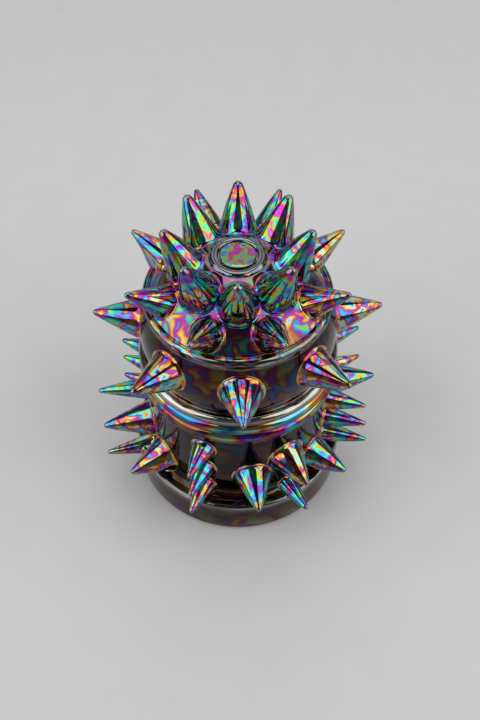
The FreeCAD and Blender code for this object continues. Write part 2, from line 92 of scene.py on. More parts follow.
# %% [markdown]
# ## From an outline to a turned surface
# Turned glass is one half section spun round the axis.  The section is a short list of corners, and
# a third number on a corner says how far the arc to the next corner bulges.  Glass has no sharp
# corners once it has been through the flame, so each corner is cut back a little and replaced by a
# small parabola.  The spinning itself is one line of numpy: two parameters, the place along the
# section and the angle round the axis, give every point at once.  Blender's Screw modifier would spin
# an outline too, but then the film's values could not be worked out point by point beside it.

# %% Outlines
HALF_STEP = 0.09                          # half the most that an arc turns between two points, in radians


def run_points(start, finish, bulge, spacing, cut_start, cut_finish):
    """Points from start to finish.  With a bulge b over a chord c they lie on the circle of radius
    c*c/(8b) + b/2, at equal angles between its two ends; b is to the right of the way it runs.  The
    cuts are the lengths left out at each end, where a rounded corner takes over."""
    start, finish = np.array(start, float), np.array(finish, float)
    chord = np.linalg.norm(finish - start)
    along = (finish - start) / chord
    right = np.array([along[1], -along[0]])
    size = abs(bulge)
    half = 2 * math.atan(2 * size / chord)
    length = chord if size == 0 else chord * half / math.sin(half)
    count = max(2, math.ceil(length / spacing), math.ceil(half / HALF_STEP))
    share = np.linspace(cut_start / length, 1 - cut_finish / length, count + 1)[:, None]
    if size == 0:
        return start + (finish - start) * share
    radius = chord * chord / (8 * size) + size / 2
    angle = (share * 2 - 1) * half
    rise = radius * (np.cos(angle) - math.cos(half))
    return start + along * (chord / 2 + radius * np.sin(angle)) + right * rise * math.copysign(1, bulge)


def outline(corners, closed=False, spacing=0.7, soft=0.3):
    """The rounded line through corners given as (radius, height) or (radius, height, bulge).  Round
    each corner Q it follows the parabola (1-t)^2 A + 2 t (1-t) Q + t^2 B, where A and B lie on the
    two runs, `soft` from the corner."""
    last = len(corners) if closed else len(corners) - 1
    runs = []
    for index in range(last):
        here, after = corners[index], corners[(index + 1) % len(corners)]
        cut_start = soft if closed or index > 0 else 0
        cut_finish = soft if closed or index < last - 1 else 0
        bulge = here[2] if len(here) == 3 else 0
        runs.append(run_points(here[:2], after[:2], bulge, spacing, cut_start, cut_finish))
    line = []
    t = np.linspace(0, 1, 6)[1:-1, None]
    for index, run in enumerate(runs):
        line.append(run)
        if closed or index < last - 1:
            corner = np.array(corners[(index + 1) % len(corners)][:2], float)
            after = runs[(index + 1) % last][0]
            line.append((1 - t) ** 2 * run[-1] + 2 * t * (1 - t) * corner + t ** 2 * after)
    return np.concatenate(line)


def quarter(radius):
    """Bulge of a quarter round: r (1 - 1/sqrt 2)."""
    return radius * (1 - math.sqrt(0.5))


COLUMNS = 160                             # points round each turned piece


def turn(section, columns=COLUMNS):
    """Spins a section of (radius, height) rows: point (i, j) is (r_i sin a_j, -r_i cos a_j, z_i),
    so angle 0 faces the front."""
    angle = np.linspace(0, 2 * math.pi, columns, endpoint=False)
    radius, height = section[:, :1], section[:, 1:]
    return np.stack([radius * np.sin(angle), -radius * np.cos(angle), height + 0 * angle], axis=-1)


print("a drum of four corners, turned:", turn(outline([(0, 0), (10, 0), (10, 10), (0, 10)])).shape)

# %% [markdown]
# ## From a grid of points to a closed mesh
# Every piece is one or more grids whose columns go round.  The rows either go round too, as in a
# ring, or run from pole to pole, where the first and last row are a single point.  The faces are
# worked out from the row and column numbers alone.  A closed shell that is wound the wrong way has a
# negative volume, so the volume's sign decides whether the faces are reversed.


# %% Grids to meshes
def grid_faces(rows, columns, ring):
    """Corner numbers of each face: (i, j), (i, j+1), (i+1, j+1), (i+1, j), with j and, in a ring, i
    going round.  At a pole two corners are the same point, and the face is a triangle."""
    i, j = np.meshgrid(np.arange(rows if ring else rows - 1), np.arange(columns), indexing="ij")
    number = np.arange(rows)[:, None] * columns + np.arange(columns)[None, :]
    if not ring:
        number[0], number[-1] = number[0, 0], number[-1, 0]
    below, beside = (i + 1) % rows, (j + 1) % columns
    corners = np.stack([number[i, j], number[i, beside], number[below, beside], number[below, j]], axis=-1)
    if ring:
        return corners.reshape(-1, 4), np.zeros((0, 3), int)
    first, middle, last = corners[0][:, [0, 2, 3]], corners[1:-1].reshape(-1, 4), corners[-1][:, [0, 1, 2]]
    return middle, np.concatenate([first, last])


def closed_mesh(name, grids, ring, attributes):
    """One mesh from grids of the same shape, in millimetres.  An attribute has one value per point,
    except `flow`, which has three."""
    grids = np.asarray(grids, float)
    count, rows, columns = grids.shape[:3]
    quads, threes = grid_faces(rows, columns, ring)
    shift = (np.arange(count) * rows * columns)[:, None, None]
    quads, threes = (quads + shift).reshape(-1, 4), (threes + shift).reshape(-1, 3)
    used = np.unique(np.concatenate([quads.ravel(), threes.ravel()]))
    renumber = np.zeros(count * rows * columns, int)
    renumber[used] = np.arange(len(used))
    points = grids.reshape(-1, 3)[used] * MM
    quads, threes = renumber[quads], renumber[threes]
    flat = np.concatenate([quads[:, [0, 1, 2]], quads[:, [0, 2, 3]], threes])
    a, b, c = points[flat[:, 0]], points[flat[:, 1]], points[flat[:, 2]]
    volume = np.einsum("ij,ij->i", a, np.cross(b, c)).sum() / 6
    if volume < 0:
        quads, threes = quads[:, ::-1], threes[:, ::-1]
    corners = np.concatenate([quads.ravel(), threes.ravel()]).astype(np.int32)
    sizes = np.concatenate([np.full(len(quads), 4), np.full(len(threes), 3)]).astype(np.int32)
    mesh = bpy.data.meshes.new(name)
    mesh.vertices.add(len(points))
    mesh.vertices.foreach_set("co", points.astype(np.float32).ravel())
    mesh.loops.add(len(corners))
    mesh.loops.foreach_set("vertex_index", corners)
    mesh.polygons.add(len(sizes))
    mesh.polygons.foreach_set("loop_start", np.concatenate([[0], np.cumsum(sizes)[:-1]]).astype(np.int32))
    mesh.polygons.foreach_set("loop_total", sizes)
    mesh.polygons.foreach_set("use_smooth", np.ones(len(sizes), bool))
    for key, values in attributes.items():
        kind, item, width = ("FLOAT_VECTOR", "vector", 3) if key == "flow" else ("FLOAT", "value", 1)
        layer = mesh.attributes.new(key, kind, "POINT")
        layer.data.foreach_set(item, np.asarray(values, np.float32).reshape(-1, width)[used].ravel())
    mesh.update(calc_edges=True)
    print(f"{name:22s} {len(points):6d} points  {abs(volume) / MM ** 3:9.1f} mm3")
    return mesh


def place(name, mesh, body, slot, material, *stands_for):
    """Puts a mesh into the scene, riding on a body and standing for frame pieces."""
    piece = bpy.data.objects.new(name, mesh)
    bpy.context.scene.collection.objects.link(piece)
    mesh.materials.append(material)
    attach(piece, body)
    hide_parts(*stands_for)


drum_quads, drum_threes = grid_faces(4, 6, ring=False)
print("a drum of 4 rows and 6 columns has", len(drum_quads), "quads and", len(drum_threes), "triangles")

# %% [markdown]
# ## The oil-film colours
# Some of the values further on set `sheen` low as painted shade, and some raise `sheen` and `haze` as
# painted highlights, a painted reflection and, at the spike tips, painted light.
# A film of thickness d and index n sends back two reflections that differ in phase by 4 pi n d over
# the wavelength.  The light that comes back at each wavelength is then (1 - cos phase) / 2.  Taking
# one wavelength each for red, green and blue gives the run of colours that oil shows: silver, gold,
# purple, blue, then stronger yellows, magentas, cyans and greens as the film thickens.  A colour
# ramp could hold the same run, but the three cosines are shorter and have no end.
#
# The thickness varies over the glass in lazy patches, so it comes from a noise.  The noise is read at
# `flow`, which is the point itself with one direction squeezed or stretched, because the patches are
# drawn out along each spike and round each bead.  Each piece also carries four values per point:
# `film`, the usual thickness there in nanometres; `stray`, how far the patches stray from it;
# `sheen`, how strong the film is, from 0 to 1; and `haze`, how pale the bare glass is under it.
#
# The cell prints the colour of a few thicknesses, which is a help in choosing the values further on.

# %% Film colours
FILM_INDEX = 2.0
WAVELENGTHS = (650.0, 561.0, 502.0)       # nanometres, for red, green and blue
WAVES = [4 * math.pi * FILM_INDEX / length for length in WAVELENGTHS]

for nanometres in (75, 200, 240, 265, 290, 320, 350, 380, 410):
    print(f"{nanometres:4d} nm", [round((1 - math.cos(wave * nanometres)) / 2, 2) for wave in WAVES])

# %% [markdown]
# A material is a small program of nodes.  Writing `nodes.new` and `links.new` for each of them is
# long, so a helper adds a node, sets its inputs and links those that come from another node.


# %% Node helpers
def node_maker(material):
    """A function that adds a node, sets its inputs by name or number, and links what is a socket."""
    tree = material.node_tree

    def add(kind, inputs=None, **settings):
        node = tree.nodes.new("ShaderNode" + kind)
        for key, value in settings.items():
            setattr(node, key, value)
        for key, value in (inputs or {}).items():
            if isinstance(value, bpy.types.NodeSocket):
                tree.links.new(value, node.inputs[key])
            else:
                node.inputs[key].default_value = value
        return node

    return add


def new_material(name):
    material = bpy.data.materials.new(name)
    material.use_nodes = True
    material.node_tree.nodes.clear()
    return material, node_maker(material)


def mix_colour(mix):
    """The colour output of a Mix node, which has one output for each kind of value."""
    return [socket for socket in mix.outputs if socket.type == "RGBA"][0]


print("kinds of shader node to build with:", sum(kind.startswith("ShaderNode") for kind in dir(bpy.types)))

# %% [markdown]
# The film material follows the light in three steps: a noise gives the thickness, the three cosines
# give the colour, and a second, wider noise says where the film is worn and the bare glass shows.
# Polished glass under a film reflects like a dark coloured mirror, so the shader is a metal one.

# %% Film material
FILM_KEYS = ("film", "stray", "sheen", "haze")
ROUGHNESS = 0.05                          # flame-polished glass
RIPPLE = 5.0                              # millimetres from one faint ripple of the surface to the next
RIPPLE_DEPTH = 0.00006                    # metres


def film_glass(name, patch, bright, least=0.45, fine=0.35, vivid=0.97):
    """Smoky glass under a film.  `patch` is the size of its patches in millimetres, `bright` how
    much light the film sends back at most, `least` its strength where it is most worn, `fine` how
    broken up the patches are, and `vivid` how strong their colours are."""
    material, add = new_material(name)
    reads = [add("Attribute", attribute_name=key, attribute_type="GEOMETRY") for key in FILM_KEYS]
    film, stray, sheen, haze = (node.outputs["Fac"] for node in reads)
    flow = add("Attribute", attribute_name="flow", attribute_type="GEOMETRY").outputs["Vector"]
    # A wide noise bends the patches out of shape.
    wide = add("TexNoise", {"Vector": flow, "Scale": 1 / (patch * 2.6 * MM), "Detail": 1.0})
    drift = add("VectorMath", {0: wide.outputs["Color"], 1: (0.5, 0.5, 0.5)}, operation="SUBTRACT")
    drift = add("VectorMath", {0: drift.outputs[0], 3: patch * 2.0 * MM}, operation="SCALE")
    bent = add("VectorMath", {0: flow, 1: drift.outputs[0]}, operation="ADD")
    blot = add("TexNoise", {"Vector": bent.outputs[0], "Scale": 1 / (patch * MM), "Detail": 2.5,
                            "Roughness": fine, "Distortion": 0.5})
    # A noise keeps mostly between 0.25 and 0.75, which becomes -1 to 1.
    level = add("MapRange", {"Value": blot.outputs[0], "From Min": 0.25, "From Max": 0.75,
                             "To Min": -1.0, "To Max": 1.0}, clamp=False)
    thickness = add("Math", {0: level.outputs[0], 1: stray, 2: film}, operation="MULTIPLY_ADD")
    thickness = add("Math", {0: thickness.outputs[0]}, operation="ABSOLUTE")
    # The three cosines, as one vector.
    phase = add("VectorMath", {0: WAVES, 3: thickness.outputs[0]}, operation="SCALE")
    swing = add("VectorMath", {0: phase.outputs[0]}, operation="COSINE")
    colour = add("VectorMath", {0: swing.outputs[0], 1: (-bright / 2,) * 3, 2: (bright / 2,) * 3},
                 operation="MULTIPLY_ADD")
    # Where the film is worn, the haze of the bare glass shows.
    worn = add("TexNoise", {"Vector": bent.outputs[0], "Scale": 1 / (patch * 2.4 * MM), "Detail": 1.0})
    worn = add("MapRange", {"Value": worn.outputs[0], "From Min": 0.34, "From Max": 0.58,
                            "To Min": least, "To Max": 1.0})
    strength = add("Math", {0: worn.outputs[0], 1: sheen}, operation="MULTIPLY")
    colour = add("HueSaturation", {"Color": colour.outputs[0], "Saturation": vivid})
    skin = add("Mix", {"Factor": strength.outputs[0], "A": haze, "B": colour.outputs[0]},
               data_type="RGBA")
    ripple = add("TexNoise", {"Vector": flow, "Scale": 1 / (RIPPLE * MM), "Detail": 1.0})
    bump = add("Bump", {"Height": ripple.outputs[0], "Distance": RIPPLE_DEPTH, "Strength": 1.0})
    gloss = add("MapRange", {"Value": blot.outputs[0], "To Min": ROUGHNESS * 0.6,
                             "To Max": ROUGHNESS * 1.5})
    shader = add("BsdfPrincipled", {"Base Color": mix_colour(skin), "Metallic": 1.0,
                                    "Roughness": gloss.outputs[0], "Normal": bump.outputs[0]})
    add("OutputMaterial", {"Surface": shader.outputs[0]})
    return material


lid_glass = film_glass("iridised_lid_glass", 4.6, 0.45)
jar_glass = film_glass("iridised_jar_glass", 9.0, 0.42)
collar_glass = film_glass("iridised_collar_glass", 13.0, 0.48, least=0.6)
crown_glass = film_glass("iridised_crown_glass", 3.2, 0.42, least=0.7)
spike_glass = film_glass("iridised_spike_glass", 3.2, 0.50, least=0.8, fine=0.45, vivid=0.94)
print("glass finishes:", [material.name for material in bpy.data.materials])

# %% [markdown]
# ## The jar
# The jar is a waisted cup in a thick foot ring.  Its outline is shared with the spikes, which have
# to find the skin they stand on.  Along the outline the film changes with the height: strong on the
# bead at the rim, weak on the wall as painted shade that keeps it dark, stronger on the foot's bottom
# edge as a painted reflection, and a pale silver line on the foot's upper edge as a painted highlight.

# %% Jar and foot
FOOT_TOP = 14.3
FOOT_ROUND = 1.6                          # radius of the foot's rounded edges
FOOT_LIP = WAIST + 0.4                    # radius where the cove ends on the jar's wall
COVE = 3.4                                # radius of the hollow between foot and jar
BEAD_LOW = 46.3                           # height where the jar's rim bead springs
JAR_FLOOR = 5.0                           # thickness of the jar's floor, and the round inside its edge
FOOT_SKIN = [
    (FOOT - FOOT_ROUND, 0, quarter(FOOT_ROUND)),
    (FOOT, FOOT_ROUND),
    (FOOT, FOOT_TOP - FOOT_ROUND, quarter(FOOT_ROUND)),
    (FOOT - FOOT_ROUND, FOOT_TOP),
    (FOOT_LIP + COVE, FOOT_TOP, -quarter(COVE)),
    (FOOT_LIP, FOOT_TOP + COVE),
]
JAR_SKIN = [
    (WAIST, BEAD_LOW),
    (NECK, BEAD_LOW, BEAD),
    (NECK, JAR_TOP),
]
jar_section = outline([
    (0, JAR_LIFT), (WAIST - 1, JAR_LIFT), (WAIST, JAR_LIFT + 1), *JAR_SKIN, (JAR_BORE, JAR_TOP),
    (JAR_BORE, JAR_LIFT + 2 * JAR_FLOOR, -quarter(JAR_FLOOR)),
    (JAR_BORE - JAR_FLOOR, JAR_LIFT + JAR_FLOOR), (0, JAR_LIFT + JAR_FLOOR),
])
foot_section = outline([(WAIST, 0), *FOOT_SKIN, (WAIST, FOOT_TOP + COVE)], closed=True)
print("points along the jar's section:", len(jar_section), "and along the foot's:", len(foot_section))

# %% [markdown]
# A turned piece gets its film from a short table of heights.  Between two rows every value is read
# off by straight interpolation, so a change of colour can be as sharp or as slow as it is on the
# glass.  On a bead the film is strong above and weak underneath, which is painted shade on the
# lower half of the bead, and one helper writes those rows.


# %% Film on turned pieces
def film_values(section, zones, layer=1.0):
    """The film at each point of a turned piece, read off by height from rows of (height, film, stray,
    sheen, haze).  The patches are `layer` times as wide as they are high."""
    zones = np.array(zones, float)
    values = {key: np.repeat(np.interp(section[:, 1], zones[:, 0], zones[:, number]), COLUMNS)
              for number, key in enumerate(FILM_KEYS, start=1)}
    values["flow"] = turn(section) * (MM, MM, MM * layer)
    return values


def bead_film_and_shade(low, high, film, stray, haze=0.06):
    """Rows for a bead between two heights, with the film weak underneath as painted shade."""
    # painted shade: under a bead the film is weak and the bare glass dark
    painted_shade_under, over = (0.35, 0.015), (1.0, haze)
    return [(low + (high - low) * share, film, stray, *strength_and_haze)
            for share, strength_and_haze in ((0.0, painted_shade_under), (0.55, painted_shade_under), (0.72, over), (1.0, over))]


def turned_glass(name, node, section, zones, body, slot, material, layer=1.0, ring=False):
    """Makes a turned piece that stands for `node`.  `ring` says that its section closes on itself;
    the other sections start and end on the axis."""
    mesh = closed_mesh(name, [turn(section)], ring, film_values(section, zones, layer))
    place(name, mesh, body, slot, material, node)


# The rows are height, film, stray, sheen and haze, here and for the lid.
turned_glass("jar_glass", "base_cup", jar_section, [
    # painted shade: the film on the jar's wall is kept weak so that the wall stays dark
    (14, 270, 60, 0.12, 0.010),
    (46, 270, 60, 0.09, 0.010),
    *bead_film_and_shade(BEAD_LOW, JAR_TOP, 265, 90),
], "base", "jar_glass", jar_glass, layer=1.8)
turned_glass("foot_glass", "base_foot", foot_section, [
    # painted reflection: a stronger film on the foot's rounded bottom edge
    (0, 290, 80, 0.5, 0.02),
    (3, 250, 85, 0.5, 0.02),
    # painted shade: the film on the foot's wall is kept weak so that the wall stays dark
    (6.5, 255, 60, 0.15, 0.012),
    (12, 260, 60, 0.15, 0.012),
    # painted highlight: a pale silver line along the foot's rounded upper edge
    (13.6, 65, 20, 0.9, 0.25),
    (FOOT_TOP, 250, 60, 0.15, 0.012),
], "base", "jar_glass", jar_glass, layer=1.8, ring=True)

# %% [markdown]
# ## The collar
# The collar is a single bead between jar and lid.  It is glued to the grinding bowl and rides with it,
# so it is a closed ring of its own, and its patches are drawn out further round it than elsewhere.

# %% Collar
BOND_GAP = 0.05                           # between the glass and the sleeve that glues it
COLLAR_BORE = reach("collar_bond_sleeve") + BOND_GAP
collar_section = outline([(COLLAR_BORE, JAR_TOP), (NECK, JAR_TOP, BEAD), (NECK, COLLAR_TOP),
                          (COLLAR_BORE, COLLAR_TOP)], closed=True)
turned_glass("collar_glass", "middle_collar", collar_section, bead_film_and_shade(JAR_TOP, COLLAR_TOP, 255, 85),
             "bowl", "collar_glass", collar_glass, layer=3.2, ring=True)

# %% [markdown]
# ## The lid
# The lid is a thick shell: a bead at its lip, a barrel wall that swells a little, a bead at the
# shoulder and a low dome.  Its inside is plain, because the metal cutter is glued there.  The lip is
# silver, the shoulder carries a pale silver line that is a painted highlight, the barrel's film is
# kept weak as painted shade that keeps it dark, and the dome has the strongest colours.

# %% Lid
LID_BORE = reach("lid_bond_sleeve") + BOND_GAP
BAND_LOW_RADIUS = WAIST - 0.9             # the barrel wall at its lower edge
BAND_HIGH_RADIUS = WAIST - 1.8            # and at its upper edge
BAND_SWELL = 2.0                          # how far the barrel bulges between the two
SHOULDER = 1.3                            # how far the shoulder bead bulges
DOME_EDGE_RADIUS = BAND_HIGH_RADIUS - 1.8  # where the dome starts, inside the shoulder bead
DOME_SWELL = 1.7                          # how far the dome bulges above a straight slope
DOME_FLAT = 8.8                           # radius of the pressed crown
LID_WALL = 3.0
LID_SKIN = [
    (NECK, LID_LOW, BEAD),
    (NECK, BAND_LOW),
    (BAND_LOW_RADIUS, BAND_LOW, BAND_SWELL),
    (BAND_HIGH_RADIUS, BAND_HIGH, SHOULDER),
    (DOME_EDGE_RADIUS, DOME_EDGE, DOME_SWELL),
    (DOME_FLAT, DOME_TOP),
    (0, DOME_TOP),
]
LID_HOLLOW = [
    (0, DOME_TOP - LID_WALL),
    (DOME_FLAT, DOME_TOP - LID_WALL, -DOME_SWELL),
    (DOME_EDGE_RADIUS - LID_WALL, DOME_EDGE - LID_WALL / 2),
    (LID_BORE, CUTTER_TOP),
    (LID_BORE, LID_LOW),
]
lid_section = outline(LID_HOLLOW + LID_SKIN)
turned_glass("lid_glass", "lid_shell", lid_section, [
    *bead_film_and_shade(LID_LOW, BAND_LOW, 80, 30, haze=0.10),
    # painted shade: the film on the barrel is kept weak so that the barrel stays dark
    (BAND_LOW + 0.4, 270, 65, 0.13, 0.009),
    (72, 275, 65, 0.21, 0.009),
    (BAND_HIGH - 0.5, 265, 65, 0.16, 0.009),
    # painted highlight: a pale silver line along the shoulder bead
    (BAND_HIGH + 0.5, 90, 40, 1.0, 0.25),
    (BAND_HIGH + 1.8, 140, 60, 1.0, 0.15),
    (DOME_EDGE, 262, 105, 0.95, 0.05),
    (93, 315, 105, 0.80, 0.12),
    (DOME_TOP, 370, 90, 0.60, 0.18),
], "lid", "lid_glass", lid_glass)

# %% [markdown]
# ## The pressed ring and button
# A round stamp leaves a raised ring on the crown with a low button inside it.  Both are outlines
# spun round the axis; the ring's outer edge runs out thinly on to the dome.

# %% Crown ring and button
BUTTON = reach("crown_button")
RING_IN = BUTTON + 0.5
RING_HIGH = top("crown_ring")
BUTTON_HIGH = top("crown_button")
ring_section = outline([(RING_IN, DOME_TOP - 0.3), (DOME_FLAT, DOME_TOP - 0.3), (DOME_FLAT, DOME_TOP, 0.75),
                        (RING_IN, DOME_TOP + 0.7)], closed=True, spacing=0.3, soft=0.15)
turned_glass("crown_ring_glass", "crown_ring", ring_section, [
    (DOME_TOP, 285, 90, 0.50, 0.18),
    (RING_HIGH - 0.25, 285, 90, 0.35, 0.20),
    # painted highlight: a thin silver line along the ring's crest
    (RING_HIGH - 0.10, 70, 10, 1.0, 0.2),
    (RING_HIGH, 70, 10, 1.0, 0.2),
], "lid", "lid_glass", crown_glass, ring=True)
button_section = outline([(0, DOME_TOP - 0.2), (BUTTON, DOME_TOP - 0.2), (BUTTON, BUTTON_HIGH - 0.5, 0.12),
                          (0, BUTTON_HIGH)], spacing=0.3, soft=0.35)
turned_glass("crown_button_glass", "crown_button", button_section, [
    (DOME_TOP, 60, 20, 0.4, 0.08),
    (BUTTON_HIGH - 0.7, 60, 20, 0.4, 0.08),
    (BUTTON_HIGH - 0.5, 362, 100, 0.95, 0.22),
    (BUTTON_HIGH, 362, 100, 0.95, 0.22),
], "lid", "lid_glass", crown_glass)

# %% [markdown]
# ## The spikes
# Each spike is drawn from a gather of hot glass that is pressed on to the wall, so it has a straight
# flank, a blunt round tip and a small flared foot.  A plain cone pushed into the wall has no foot,
# so the flank is followed down to where it meets the skin, and a parabola leads from there out on to
# the skin.  To find that meeting, every flank line is sampled and each sample is compared with the
# nearest stretch of the skin's outline.


# %% Distance from the skin
def skin_at(points, skin):
    """Distance of points from the skin, negative inside, and the skin's outward normal.  A point is
    seen as (radius, height); the nearest stretch of the outline has right-hand normal N, and the
    distance carries the sign of (point - nearest) . N."""
    flat = np.stack([np.hypot(points[:, 0], points[:, 1]), points[:, 2]], axis=-1)
    start, step = skin[:-1], np.diff(skin, axis=0)
    length = np.linalg.norm(step, axis=1)
    share = ((flat[:, None] - start) * step).sum(-1) / length ** 2
    nearest = start + np.clip(share, 0, 1)[..., None] * step
    away = flat[:, None] - nearest
    distance = np.linalg.norm(away, axis=-1)
    pick = np.argmin(distance, axis=1)
    row = np.arange(len(flat))
    normal = (np.stack([step[:, 1], -step[:, 0]], axis=-1) / length[:, None])[pick]
    sign = np.sign((away[row, pick] * normal).sum(-1))
    out = points[:, :2] / np.maximum(flat[:, :1], 1e-9)
    return distance[row, pick] * sign, np.concatenate([out * normal[:, :1], normal[:, 1:]], axis=-1)


straight_wall = np.array([(WAIST, 0.0), (WAIST, 60.0)])
test_point = np.array([(40.0, 0.0, 30.0)])
print("a point 40 mm out is off the wall by", skin_at(test_point, straight_wall)[0], "mm")

# %% [markdown]
# One spike is one grid: its rows go from a point buried in the wall, out over the flared foot, up the
# flank and over the round tip, and its columns go round the spike's own axis.  Blender's cone would
# have a flat end and no foot, and a boolean union would leave a hard line where the two glasses meet.

# %% One spike
TRIES = 90                                # samples along a flank line in the search for the skin
ROOT = 3.2                                # the search starts this far back inside the wall
REACH = 0.6                               # and ends at this share of the length
JOIN = 1.5                                # the foot's parabola joins the flank this many flares up
SUNK = 0.5                                # the foot's edge is carried this deep under the skin
BURIED = 0.8                              # and closes in a point this much deeper
DRAWN = 0.25                              # the share of the length that `flow` leaves out


def unit(vectors):
    return vectors / np.linalg.norm(vectors, axis=-1, keepdims=True)


def spike(skin, turned, distance, height, lean, wide, tip, length, flare, belly=0.03, columns=48):
    """One spike as a grid.  Its axis leaves (distance, height) at the angle `turned` from the front
    and leans up by `lean`.  At x along the axis the flank's radius is
    wide (1 - x / apex + belly sin(pi x / apex)), and a ball of radius `tip` ends it.  The foot spreads
    over the skin by `flare`.  With the grid come each point's share of the length and its `flow`."""
    turned, lean = math.radians(turned), math.radians(lean)
    outward = np.array([math.sin(turned), -math.cos(turned), 0])
    axis = outward * math.cos(lean) + np.array([0, 0, math.sin(lean)])
    origin = outward * distance + np.array([0, 0, height])
    side = np.cross([0, 0, 1], outward)
    angle = np.linspace(0, 2 * math.pi, columns, endpoint=False)[:, None]
    lateral = np.cos(angle) * side + np.sin(angle) * np.cross(axis, side)
    slope = math.atan2(wide, length)
    ball = length - tip
    touch = ball + tip * math.sin(slope)
    apex = touch * wide / (wide - tip * math.cos(slope))

    def flank(x):
        """Points on the flank lines, x being one value or one per line, in rows."""
        x = np.asarray(x, float)[..., None]
        out = np.clip(x, 0, None)
        radius = wide * (1 - out / apex + belly * np.sin(math.pi * out / apex))
        return origin + axis * x + lateral * radius

    tries = np.linspace(-ROOT, REACH * length, TRIES)[:, None] + np.zeros(columns)
    gap, _ = skin_at(flank(tries).reshape(-1, 3), skin)
    gap = gap.reshape(tries.shape)
    below = len(tries) - 1 - np.argmax(gap[::-1] < 0, axis=0)
    below = np.minimum(below, len(tries) - 2)
    column = np.arange(columns)
    low, high = gap[below, column], gap[below + 1, column]
    meet = tries[below, column] + (tries[1, 0] - tries[0, 0]) * np.clip(-low / (high - low), 0, 1)
    corner = flank(meet)
    _, normal = skin_at(corner, skin)
    spread = unit(lateral - (lateral * normal).sum(-1, keepdims=True) * normal)
    edge = corner + spread * flare
    off, normal = skin_at(edge, skin)
    edge = edge - normal * off[:, None]
    joined = meet + flare * JOIN
    start = flank(joined)
    t = np.linspace(0, 1, 8)[:, None, None]
    foot = (1 - t) ** 2 * edge + 2 * t * (1 - t) * corner + t ** 2 * start
    sunk = edge - normal * SUNK
    inside = np.tile(sunk.mean(0) - axis * BURIED, (columns, 1))
    mix = np.linspace(0, 1, 15)[1:, None]
    shaft = flank(joined * (1 - mix) + touch * mix)
    bow = np.linspace(slope, math.pi / 2, 7)[1:, None, None]
    cap = origin + axis * (ball + tip * np.sin(bow)) + lateral * tip * np.cos(bow)
    grid = np.concatenate([inside[None], sunk[None], foot, shaft, cap])
    along = (grid - origin) @ axis
    flow = (grid - axis * along[..., None] * DRAWN + origin * 2) * MM
    return grid, np.clip(along / length, 0, 1), flow


test_grid = spike(straight_wall, 0, WAIST, 30, lean=0, wide=6.5, tip=0.9, length=14, flare=0.8)[0]
print("a test spike of", test_grid.shape[:2], "points stands out by",
      round(-test_grid[..., 1].min() - WAIST, 2), "mm")

# %% [markdown]
# The spikes of one frame piece share one mesh, so that one slot and one finish dress them all.  Each
# spike is a little different in colour, because each was held in the flame by itself.

# %% Film on spikes
FOOT_ROWS = 4, 10                         # the rows over which the foot's film gives way to the shaft's
DIFFERENCE = 40                           # nanometres by which whole spikes differ from the usual film
STRAY_FOOT, STRAY_SHAFT = 60, 105         # nanometres
BARE_FROM, BARE_OVER = 0.90, 0.07         # the film ends over this share of the length, near the tip
# The paleness added at the tip is painted light, for the light seen through the clear glass there; that the
# film is gone there is real.
BARE_SHEEN, HAZE, TIP_PAINTED_LIGHT = 0.85, 0.06, 0.16  # sheen lost at the tip, haze, and haze added there


def spike_values(alongs, flows, film_foot, film_low, film_high):
    """The film on spikes: `film_foot` on the flared foot, then changing slowly towards the tip, each
    spike a little different, and gone at the very tip, which was held while the film went on; the bare
    tip is made paler as painted light for the light seen through its clear glass."""
    count, rows = alongs.shape[:2]
    change = DIFFERENCE * np.sin(2.4 * np.arange(count) + 0.7)[:, None, None]
    past_foot = np.clip((np.arange(rows) - FOOT_ROWS[0]) / (FOOT_ROWS[1] - FOOT_ROWS[0]), 0, 1)[:, None]
    body = film_low + (film_high - film_low) * alongs + change
    film = film_foot + (body - film_foot) * past_foot
    stray = STRAY_FOOT + (STRAY_SHAFT - STRAY_FOOT) * past_foot + 0 * film
    bare = np.clip((alongs - BARE_FROM) / BARE_OVER, 0, 1)
    return {"film": film, "stray": stray, "sheen": 1 - bare * BARE_SHEEN, "haze": HAZE + bare * TIP_PAINTED_LIGHT,
            "flow": flows}


def spike_set(name, spikes, body, node, film_foot, film_low=298, film_high=290):
    """Makes one mesh of several spikes.  The films are those at the foot, above it and at the tip."""
    grids, alongs, flows = (np.array(part) for part in zip(*spikes))
    values = spike_values(alongs, flows, film_foot, film_low, film_high)
    place(name, closed_mesh(name, grids, False, values), body, "spike_glass", spike_glass, node)
    film = values["film"]
    print(f"{name:22s} {len(grids):6d} spikes, film from {film.min():.0f} to {film.max():.0f} nm")


# %% [markdown]
# The lid carries three rings of eight: nearly upright on the crown, slanting on the shoulder and
# almost level round the barrel.  The height of the crown and shoulder rings comes from the dome's
# own arc, and the barrel ring is turned two degrees, as it is on a piece set by eye.

# %% Lid spikes
lid_skin = outline([(LID_BORE, LID_LOW), *LID_SKIN], spacing=0.4, soft=0.2)
RING_OF = 8                               # spikes in a ring
SPIKE_RINGS = (
    # node, turn, distance, height, lean, foot radius, tip radius, length, flare, belly, films
    ("crown_spikes", 0.0, 15.9, None, 66.6, 5.95, 1.15, 15.1, 1.1, 0.08, (290, 355, 330)),
    ("shoulder_spikes", 22.5, 24.1, None, 34.6, 5.05, 0.8, 13.7, 0.8, 0.04, (260, 262, 285)),
    ("band_spikes", 2.0, None, LID_LOW + 16.4, 12.4, 6.5, 0.9, 14.4, 0.8, 0.03, (240, 265, 300)),
)


def skin_height(skin, distance):
    """Height of the dome at a radius; the dome is the last stretch of the outline, running inwards."""
    dome = skin[skin[:, 1] > DOME_EDGE - 0.01][::-1]
    return float(np.interp(distance, dome[:, 0], dome[:, 1]))


